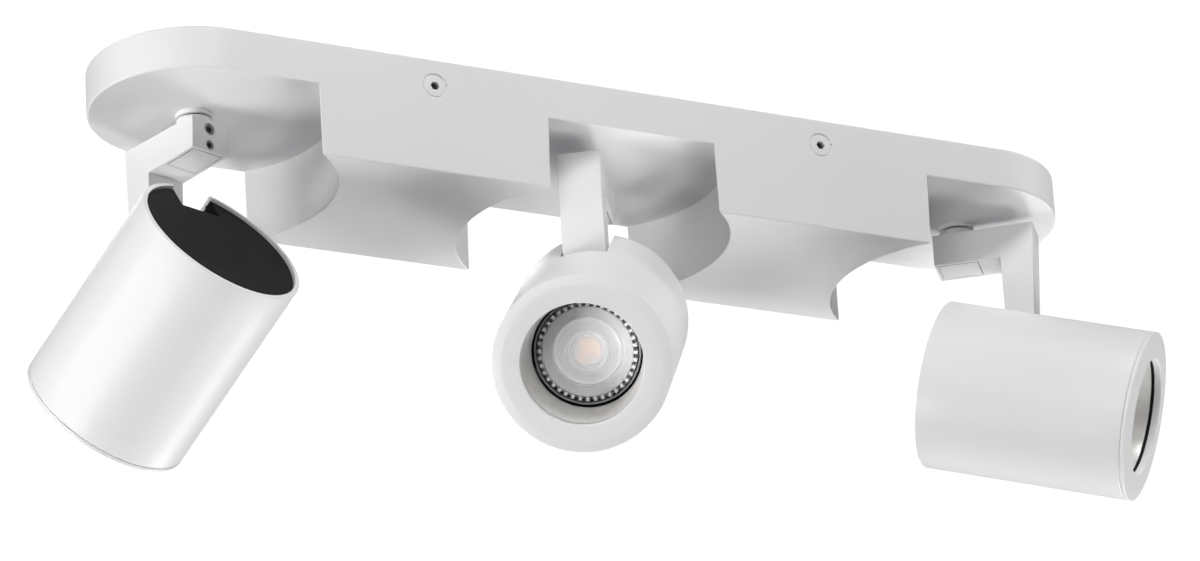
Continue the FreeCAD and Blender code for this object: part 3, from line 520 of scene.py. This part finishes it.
def housing_edges(middle, direction, length):
    """Rounded: the rims at the ceiling, under the plate and under the blocks, and the blocks' upright
    corners. The countersinks get a smaller rounding, and the pan bushes' holes none."""
    x, y, z = np.abs(middle).T
    near_screw = np.hypot(x - SIDE_SCREW_X, z - SIDE_SCREW_DROP) < 9
    mouth = near_screw & (y > 49) & (np.hypot(x - SIDE_SCREW_X, z - SIDE_SCREW_DROP) > SIDE_SCREW_HEAD - 0.5)
    near_pan = np.min([np.hypot(middle[:, 0] - station, y) for station in STATIONS], axis=0) < 9
    level = (z < 0.1) | (z > BLOCK_DEPTH - 0.1) | (np.abs(z - PLATE_DEPTH) < 0.1)
    upright = (np.abs(direction[:, 2]) > 0.9) & (y > 48)
    weight = np.where((level | upright) & ~near_screw & ~near_pan, 1.0, 0.0)
    return np.where(mouth, COUNTERSINK_ROUND / EDGE_ROUND, weight)


def no_edges(middle, direction, length):
    """Rounded: none."""
    return np.zeros(len(length))


welded_copy("housing", "bar_housing", "bar", "white_powder", WHITE, EDGE_ROUND, housing_edges)

SCREW_HEX = 2.15
SCREW_HEX_DEPTH = 3.0
screw_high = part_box("housing_side_screws")[1]
screw_profile = eased([(3.0, -0.1), (SIDE_SCREW_HEAD - 0.45, -0.1), (SIDE_SCREW_HEAD - 0.45, -1.1),
                       (3.0, -3.6), (3.0, -14.0), (0.0, -14.0)], 0.3, 3, False)
screw_grids = []
for x in (-SIDE_SCREW_X, SIDE_SCREW_X):
    for side in (-1, 1):
        origin = (x, side * screw_high[1] / MM, -SIDE_SCREW_DROP)
        screw = hexed_grid(SCREW_HEX, SCREW_HEX_DEPTH, screw_profile.tolist())
        screw_grids.append(placed(screw, origin, frame_of((0, side, 0), (1, 0, 0))))
screws = grid_mesh("side_screws", screw_grids)
new_piece("side_screws", screws, "bar", "white_screw", SCREW_WHITE, "housing_side_screws")

bush_profile = eased([(5.05, -2.2), (8.8, -2.2), (8.8, 0.0), (7.0, 0.0), (7.0, 2.5), (5.05, 2.5)], 0.3)
bush_grids = [placed(turned_grid(bush_profile, 96), (x, 0, -PLATE_DEPTH), np.eye(3)) for x in STATIONS]
new_piece("pan_bush_set", grid_mesh("pan_bush_set", bush_grids), "bar", "white_nylon", WHITE, "pan_bushes")

kept = (("ceiling_bracket", ZINC), ("inlet_grommet", RUBBER), ("earth_screw", BRASS),
        ("terminal_block", NYLON), ("supply_leads", SHEATH))
for node, material in kept:
    frame["nodes"][node].data.materials.clear()
    frame["nodes"][node].data.materials.append(material)


# ================================ the heads ================================

def arm_edges(head):
    """Rounded: the outlines of the arm's two flanks, apart from the tilt screws' holes, and the corners
    that run right across it."""
    centre, directions = arm_frame(head)
    across = np.array(directions)

    def chosen(middle, direction, length):
        local = (middle - centre) @ across.T
        flank = np.abs(np.abs(local[:, 1]) - 10.2) < 0.06
        hole = np.hypot(local[:, 0] - TILT_OFFSET, local[:, 2] + 65.5) < 4
        corner = (np.abs(direction @ across[1]) > 0.99) & (length > 19)
        return np.where((flank & ~hole) | corner, 1.0, 0.0)

    return chosen


def tube_mesh(name, origin, directions):
    """The tube's wall as one grid. Columns go round the axis and rows run along the outside from the rear
    rim to the front and back along the inside, with rounded rims. The row where the slot ends dips round
    the slot's corners by the circle of their radius, the faces of the slot are left out, and its end and
    its two sides are closed between the outside and inside rows."""
    spread = math.asin(SLOT_HALF / TUBE_RADIUS)
    bend = math.asin((SLOT_HALF - SLOT_CORNER) / TUBE_RADIUS)
    corner = np.linspace(bend, spread, 7)
    inside_slot = np.concatenate([-corner[::-1], np.linspace(-bend, bend, 9)[1:-1], corner])
    outside_slot = np.linspace(spread, 2 * np.pi - spread, 170)[1:-1]
    angle = np.concatenate([inside_slot, outside_slot])
    sideways = TUBE_RADIUS * np.sin(angle)
    in_slot = np.arange(len(angle)) < len(inside_slot)
    round_part = np.clip(np.abs(sideways) - (SLOT_HALF - SLOT_CORNER), 0, SLOT_CORNER)
    end = SLOT_END - SLOT_CORNER + np.sqrt(SLOT_CORNER ** 2 - round_part ** 2)
    end = np.where(in_slot, end, SLOT_END - SLOT_CORNER)
    from_slot = np.angle(np.exp(1j * angle))
    near = np.clip(1 - (np.abs(from_slot) - spread) / 0.3, 0, 1)
    narrow = np.arcsin(np.clip(sideways / TUBE_BORE, -1, 1))
    inner_angle = from_slot + near * np.where(np.cos(angle) > 0, narrow - from_slot, 0)
    rim, rows = 0.5, []
    quarter = np.linspace(0, np.pi / 2, 5)
    for turn in quarter:
        rows.append((angle, TUBE_RADIUS - rim + rim * math.sin(turn), rim - rim * math.cos(turn) + 0 * angle))
    for share in (0.33, 0.66, 1.0):
        rows.append((angle, TUBE_RADIUS, rim + share * (end - rim)))
    slot_outer = len(rows) - 1
    for height in np.linspace(SLOT_END + 4, TUBE_LENGTH - rim, 6):
        rows.append((angle, TUBE_RADIUS, height + 0 * angle))
    for turn in quarter[1:]:
        height = TUBE_LENGTH - rim + rim * math.sin(turn)
        rows.append((angle, TUBE_RADIUS - rim + rim * math.cos(turn), height + 0 * angle))
    rows.append((inner_angle, TUBE_BORE, TUBE_LENGTH + 0 * angle))
    rows.append((inner_angle, TUBE_BORE, end))
    slot_inner = len(rows) - 1
    rows.append((inner_angle, TUBE_BORE, 0 * angle))
    points = np.array([np.stack([radius * np.cos(turn), radius * np.sin(turn), height], -1)
                       for turn, radius, height in rows])
    count, columns = points.shape[:2]
    index = np.arange(count * columns).reshape(count, columns)
    below, above = index, np.roll(index, -1, axis=0)
    quads = np.stack([below, above, np.roll(above, -1, axis=1), np.roll(below, -1, axis=1)], -1)
    row = np.arange(count)
    rearward = (row < slot_outer) | (row >= slot_inner)
    column_in = in_slot & (np.arange(columns) < len(inside_slot) - 1)
    keep = ~(rearward[:, None] & column_in[None, :])
    faces = [quads[keep]]
    first, last = 0, len(inside_slot) - 1
    outer_end, inner_end = index[slot_outer, first:last + 1], index[slot_inner, first:last + 1]
    faces.append(np.stack([outer_end[:-1], outer_end[1:], inner_end[1:], inner_end[:-1]], -1))
    quad_faces = np.concatenate(faces).tolist()
    sides = [index[:slot_outer + 1, column].tolist() + index[slot_inner:, column].tolist()
             for column in (first, last)]
    mesh = bpy.data.meshes.new(name)
    world = (np.array(origin) + points.reshape(-1, 3) @ np.array(directions)) * MM
    mesh.from_pydata(world.tolist(), [], quad_faces + sides)
    finish_mesh(mesh, 30.0)
    return mesh


def fin_grid(count, inner, outer, top, floor, share):
    """A ring of upright fins about the third axis: round the ring the height steps between the floor and
    the top, with a column on each side of every step."""
    pitch = 2 * np.pi / count
    steps = np.array([0.0, 0.02, share, share + 0.02]) * pitch
    angle = (np.arange(count)[:, None] * pitch + steps).reshape(-1)
    height = np.tile([floor, top, top, floor], count)
    crest = height + 0.12 * (height - floor) / (top - floor)
    rows = [(inner, floor - 0.4 + 0 * height), (inner, height), (inner + 0.25, crest)]
    rows += [(outer - 0.25, height), (outer, height - 0.2), (outer, floor - 0.4 + 0 * height)]
    points = [np.stack([radius * np.cos(angle), radius * np.sin(angle), level], -1) for radius, level in rows]
    return np.array(points), np.zeros((len(rows), 1)), True, True


def emitter_grid(radius, level):
    """A shallow dish about the third axis that ends at a rim. The mark is the warmth: a sum of bell curves
    round the chips."""
    reach = np.concatenate([np.linspace(0, 1, 26) * radius, [radius + 0.3, radius + 0.3, 0.0]])
    dish = level + 1.6 * np.linspace(0, 1, 26) ** 2
    height = np.concatenate([dish, [level + 1.6, level - 0.8, level - 0.8]])
    angle = np.linspace(0, 2 * np.pi, 96, endpoint=False)
    x, y = reach[:, None] * np.cos(angle), reach[:, None] * np.sin(angle)
    chips = ((4.2, 1.0), (-3.4, 3.0), (-1.4, -4.0), (0.4, 0.3), (2.6, -3.2))
    warmth = sum(0.9 * np.exp(-((x - a) ** 2 + (y - b) ** 2) / 4.6) for a, b in chips)
    points = np.stack([x, y, height[:, None] + 0 * x], -1)
    return points, np.clip(warmth, 0, 1), False, True


ring_profile = eased([(MOUTH_RADIUS, MOUTH_FLOOR), (36.2, MOUTH_FLOOR), (36.2, REFLECTOR_FRONT),
                      (39.1, REFLECTOR_FRONT), (39.1, TUBE_LENGTH + 0.03), (40.9, TUBE_LENGTH + 0.03),
                      (40.9, RING_REAR), (TUBE_RADIUS, RING_REAR + 0.2), (TUBE_RADIUS, FACE - 0.9),
                      (36.9, FACE), (MOUTH_RADIUS, FACE)], 0.5, 4)
baffle_profile = eased([(29.0, REFLECTOR_FRONT), (36.1, REFLECTOR_FRONT), (36.1, MOUTH_FLOOR - 0.05),
                        (29.0, MOUTH_FLOOR - 0.05)], 0.2)
reflector_run = np.linspace(0, 1, 15)
flare = REFLECTOR_REAR_RADIUS + (MOUTH_RADIUS - REFLECTOR_REAR_RADIUS) * reflector_run ** 1.15
flare_height = REFLECTOR_REAR + (REFLECTOR_FRONT - REFLECTOR_REAR - 0.02) * reflector_run
reflector_inner = np.stack([flare, flare_height], -1)
reflector_outer = np.array([(38.9, REFLECTOR_FRONT - 0.02), (38.9, REFLECTOR_FRONT - 1.0),
                            (MOUTH_RADIUS + 1.0, REFLECTOR_FRONT - 1.0),
                            (REFLECTOR_REAR_RADIUS + 1.0, REFLECTOR_REAR)])
reflector_profile = np.concatenate([reflector_inner, reflector_outer])
shell_profile = eased([(0, LAMP_BASE), (12.8, LAMP_BASE), (12.8, 33.0), (15.5, 37.0), (22.8, 62.0),
                       (LAMP_RADIUS, 70.0), (LAMP_RADIUS, LAMP_FACE - 0.4), (24.1, LAMP_FACE - 0.1),
                       (23.7, LAMP_FACE - 0.8), (23.6, 72.0), (0, 72.0)], 0.4, 3, False)
rim_profile = eased([(24.0, LAMP_FACE - 0.9), (24.2, LAMP_FACE + 0.1), (24.8, LAMP_FACE + 0.1),
                     (LAMP_RADIUS + 0.1, LAMP_FACE - 0.3), (LAMP_RADIUS + 0.1, LAMP_FACE - 1.6),
                     (24.0, LAMP_FACE - 1.6)], 0.25, 3)
bezel_profile = eased([(LENS_EDGE + 0.1, 74.6), (LENS_EDGE + 0.1, LAMP_FACE - 1.1), (17.2, LAMP_FACE - 0.75),
                       (20.6, LAMP_FACE - 0.25), (BEZEL_EDGE, LAMP_FACE - 0.5), (BEZEL_EDGE, 73.0),
                       (17.0, 73.0)], 0.3, 3)
bead_profile = eased([(LENS_EDGE - 0.3, 74.8), (LENS_EDGE + 0.5, 74.8), (LENS_EDGE + 0.5, LAMP_FACE - 0.55),
                      (LENS_EDGE - 0.3, LAMP_FACE - 0.55)], 0.35, 4)
lens_profile = eased([(0, 75.3), (3.5, 75.2), (7.3, 75.75), (7.7, 75.3), (10.3, 75.85), (10.7, 75.35),
                      (11.2, 75.55), (14.6, 75.1), (LENS_EDGE - 0.4, 74.9), (LENS_EDGE - 0.4, 73.7),
                      (0, 73.7)], 0.3, 3, False)
lens_seat_profile = [(7.3, 73.6), (LENS_EDGE, 73.65), (LENS_EDGE, 72.2), (7.3, 72.2)]
stud_profile = eased([(3.3, -14.0), (5.0, -14.0), (5.0, -6.9), (8.4, -6.9), (8.4, -3.3), (5.0, -3.3),
                      (5.0, 9.5), (3.3, 9.5)], 0.3)
FIN_FLOOR = 72.4
FIN_SHARE = 0.45
EMITTER_RADIUS = 7.2
EMITTER_LEVEL = 72.1
head_finishes = (("pan_washers", BLACK_STEEL), ("pan_nut", ZINC), ("arm_lead", SHEATH),
                 ("lamp_holder", CERAMIC))
# pieces that keep their CAD surface: node, name, part of the head, slot and finish
plain_copies = (("arm_set_screws", "grub_screws", "arm_body", "dark_screw", DARK_STEEL),
                ("tilt_screws", "shoulder_screws", "arm_body", "zinc_steel", ZINC),
                ("rear_cap", "black_cap", "spot_body", "black_plastic", BLACK),
                ("yoke", "tilt_yoke", "spot_body", "black_steel", BLACK_STEEL))

for head in HEADS:
    arm_body, spot_body = head + "_arm_body", head + "_spot_body"
    welded_copy(head + "_arm", head + "_cranked_arm", arm_body, "white_powder", WHITE, 0.35, arm_edges(head))
    cover = welded_copy(head + "_arm_cover", head + "_cover_plate", arm_body, "white_powder", WHITE, 0,
                        no_edges)
    # black steel on the cover's upright edge faces is painted shade: it draws the slit round the cover as a
    # dark line
    cover.data.materials.append(BLACK_STEEL)
    upright = np.empty(len(cover.data.polygons) * 3)
    cover.data.polygons.foreach_get("normal", upright)
    shaded_cover_edges = np.abs(upright.reshape(-1, 3)[:, 2]) < 0.5
    cover.data.polygons.foreach_set("material_index", shaded_cover_edges.astype(np.int32))
    for node, name, body, slot, material in plain_copies:
        welded_copy(head + "_" + node, head + "_" + name, head + "_" + body, slot, material, 0, no_edges)
    arm_piece(head, "stud_collar", [turned_grid(stud_profile, 96)], "white_powder", WHITE, "pan_stud")
    for node, material in head_finishes:
        data = frame["nodes"][head + "_" + node].data
        data.materials.clear()
        data.materials.append(material)
    origin, directions = spot_frame(head)
    tube = tube_mesh(head + "_tube_wall", origin, directions)
    new_piece(head + "_tube_wall", tube, spot_body, "white_powder", WHITE, head + "_tube")
    spot_piece(head, "face_ring", [turned_grid(ring_profile, 192)], "white_powder", WHITE, "front_ring")
    baffle = turned_grid(baffle_profile, 160)
    spot_piece(head, "shadow_baffle", [baffle], "black_plastic", BLACK, "baffle_ring")
    reflector = turned_grid(reflector_profile, 192)
    spot_piece(head, "spun_reflector", [reflector], "bright_aluminium", SPUN, "reflector")
    shell = turned_grid(shell_profile, 144, False)
    # the shell's near-black colour paints the shade seen between and round the fins
    spot_piece(head, "lamp_shell", [shell], "lamp_plastic", SHADED_LAMP_SHELL, "lamp")
    fins = fin_grid(FIN_COUNT, BEZEL_EDGE + 0.15, FIN_EDGE, LAMP_FACE - 0.15, FIN_FLOOR, FIN_SHARE)
    spot_piece(head, "lamp_fins", [fins], "lamp_plastic", LAMP_WHITE)
    spot_piece(head, "lamp_rim", [turned_grid(rim_profile, 144)], "lamp_plastic", RIM_GREY)
    spot_piece(head, "lamp_bezel", [turned_grid(bezel_profile, 144)], "lamp_plastic", LAMP_GREY)
    spot_piece(head, "lens_bead", [turned_grid(bead_profile, 144)], "lamp_plastic", LAMP_WARM)
    spot_piece(head, "lens_seat", [turned_grid(lens_seat_profile, 96)], "lamp_plastic", LAMP_WHITE)
    spot_piece(head, "emitter", [emitter_grid(EMITTER_RADIUS, EMITTER_LEVEL)], "lamp_plastic", EMITTER)
    spot_piece(head, "lens", [turned_grid(lens_profile, 144, False)], "lamp_lens_glass", LENS, "lamp_lens")


# ================================ setting ================================

FLOOR_LEVEL = -6.0
FLOOR_HALF = 40.0
FLOOR_GLOW = 0.85
corner = np.array([-1.0, 1.0]) * FLOOR_HALF
across, along = np.meshgrid(corner, corner, indexing="ij")
floor_grid = np.stack([across, along, FLOOR_LEVEL + 0 * across], -1)
floor_mesh = bpy.data.meshes.new("room_floor")
floor_mesh.from_pydata(floor_grid.reshape(-1, 3).tolist(), [], [(0, 2, 3, 1)])
floor = bpy.data.objects.new("room_floor", floor_mesh)
bpy.context.scene.collection.objects.link(floor)
floor_finish = Finish("pale floor", Metallic=0.0)
pale = floor_finish.noise(3, 3).blend((0.80, 0.80, 0.80), (0.84, 0.84, 0.84))
floor_finish.feed(Base_Color=pale, Emission_Color=pale)
floor_finish.shader.inputs["Emission Strength"].default_value = FLOOR_GLOW
floor_finish.feed(Roughness=0.6 + 0.1 * floor_finish.noise(20, 2))
floor_mesh.materials.append(floor_finish.material)
floor.visible_diffuse = False
floor.visible_glossy = False

CAMERA_PLACE = Vector((-0.85828, -1.77907, -0.96264))
CAMERA_HEADING = math.radians(25.82)     # turned from +Y towards +X
CAMERA_RISE = math.radians(24.14)
CAMERA_ROLL = math.radians(3.336)
CAMERA_LENS = 136.49
SENSOR_WIDTH = 36.0
FARTHEST_SEEN = 60.0
SOFTBOX_SIZE = 0.8
SOFTBOX_DISTANCE = 2.6
camera_data = bpy.data.cameras.new("camera")
camera_data.lens = CAMERA_LENS
camera_data.sensor_width = SENSOR_WIDTH
camera_data.clip_end = FARTHEST_SEEN
camera = bpy.data.objects.new("camera", camera_data)
bpy.context.scene.collection.objects.link(camera)
turn = Matrix.Rotation(-CAMERA_HEADING, 4, "Z") @ Matrix.Rotation(math.pi / 2 + CAMERA_RISE, 4, "X")
camera.matrix_world = Matrix.Translation(CAMERA_PLACE) @ turn @ Matrix.Rotation(-CAMERA_ROLL, 4, "Z")
bpy.context.scene.camera = camera


def softbox(name, heading, rise, power):
    """A square area light that faces the fitting's middle: heading turns from the front towards the right,
    rise is above level."""
    data = bpy.data.lights.new(name, "AREA")
    data.shape = "SQUARE"
    data.size = SOFTBOX_SIZE
    data.energy = power
    light = bpy.data.objects.new(name, data)
    bpy.context.scene.collection.objects.link(light)
    around, up = math.radians(heading), math.radians(rise)
    level = math.cos(up)
    towards = Vector((math.sin(around) * level, -math.cos(around) * level, math.sin(up)))
    light.location = towards * SOFTBOX_DISTANCE
    light.rotation_euler = (-towards).to_track_quat("-Z", "Y").to_euler()
    light.visible_camera = False


softbox("front top softbox", 0, 40, 43)
softbox("left low softbox", 270, -35, 33)
softbox("right back low softbox", 128, -35, 28)
softbox("right low softbox", 85, -35, 24)
softbox("left softbox", 264, -8, 19)
softbox("right top softbox", 75, 40, 15)
softbox("right floor softbox", 85, -65, 15)
softbox("front left softbox", 320, -8, 14)
softbox("back top softbox", 180, 40, 12)

BACKDROP = 1.06
FILL = 0.10
world = bpy.data.worlds.new("studio")
bpy.context.scene.world = world
world.use_nodes = True
tree = world.node_tree
tree.nodes.clear()
start = Wire(tree, None)
straight = start.node("ShaderNodeLightPath", out=0)
glow = straight * (BACKDROP - FILL) + FILL
light = start.node("ShaderNodeBackground", inputs={"Color": (1, 1, 1, 1), "Strength": glow})
output = tree.nodes.new("ShaderNodeOutputWorld")
tree.links.new(light.socket, output.inputs[0])
bpy.context.scene.view_settings.view_transform = "Standard"
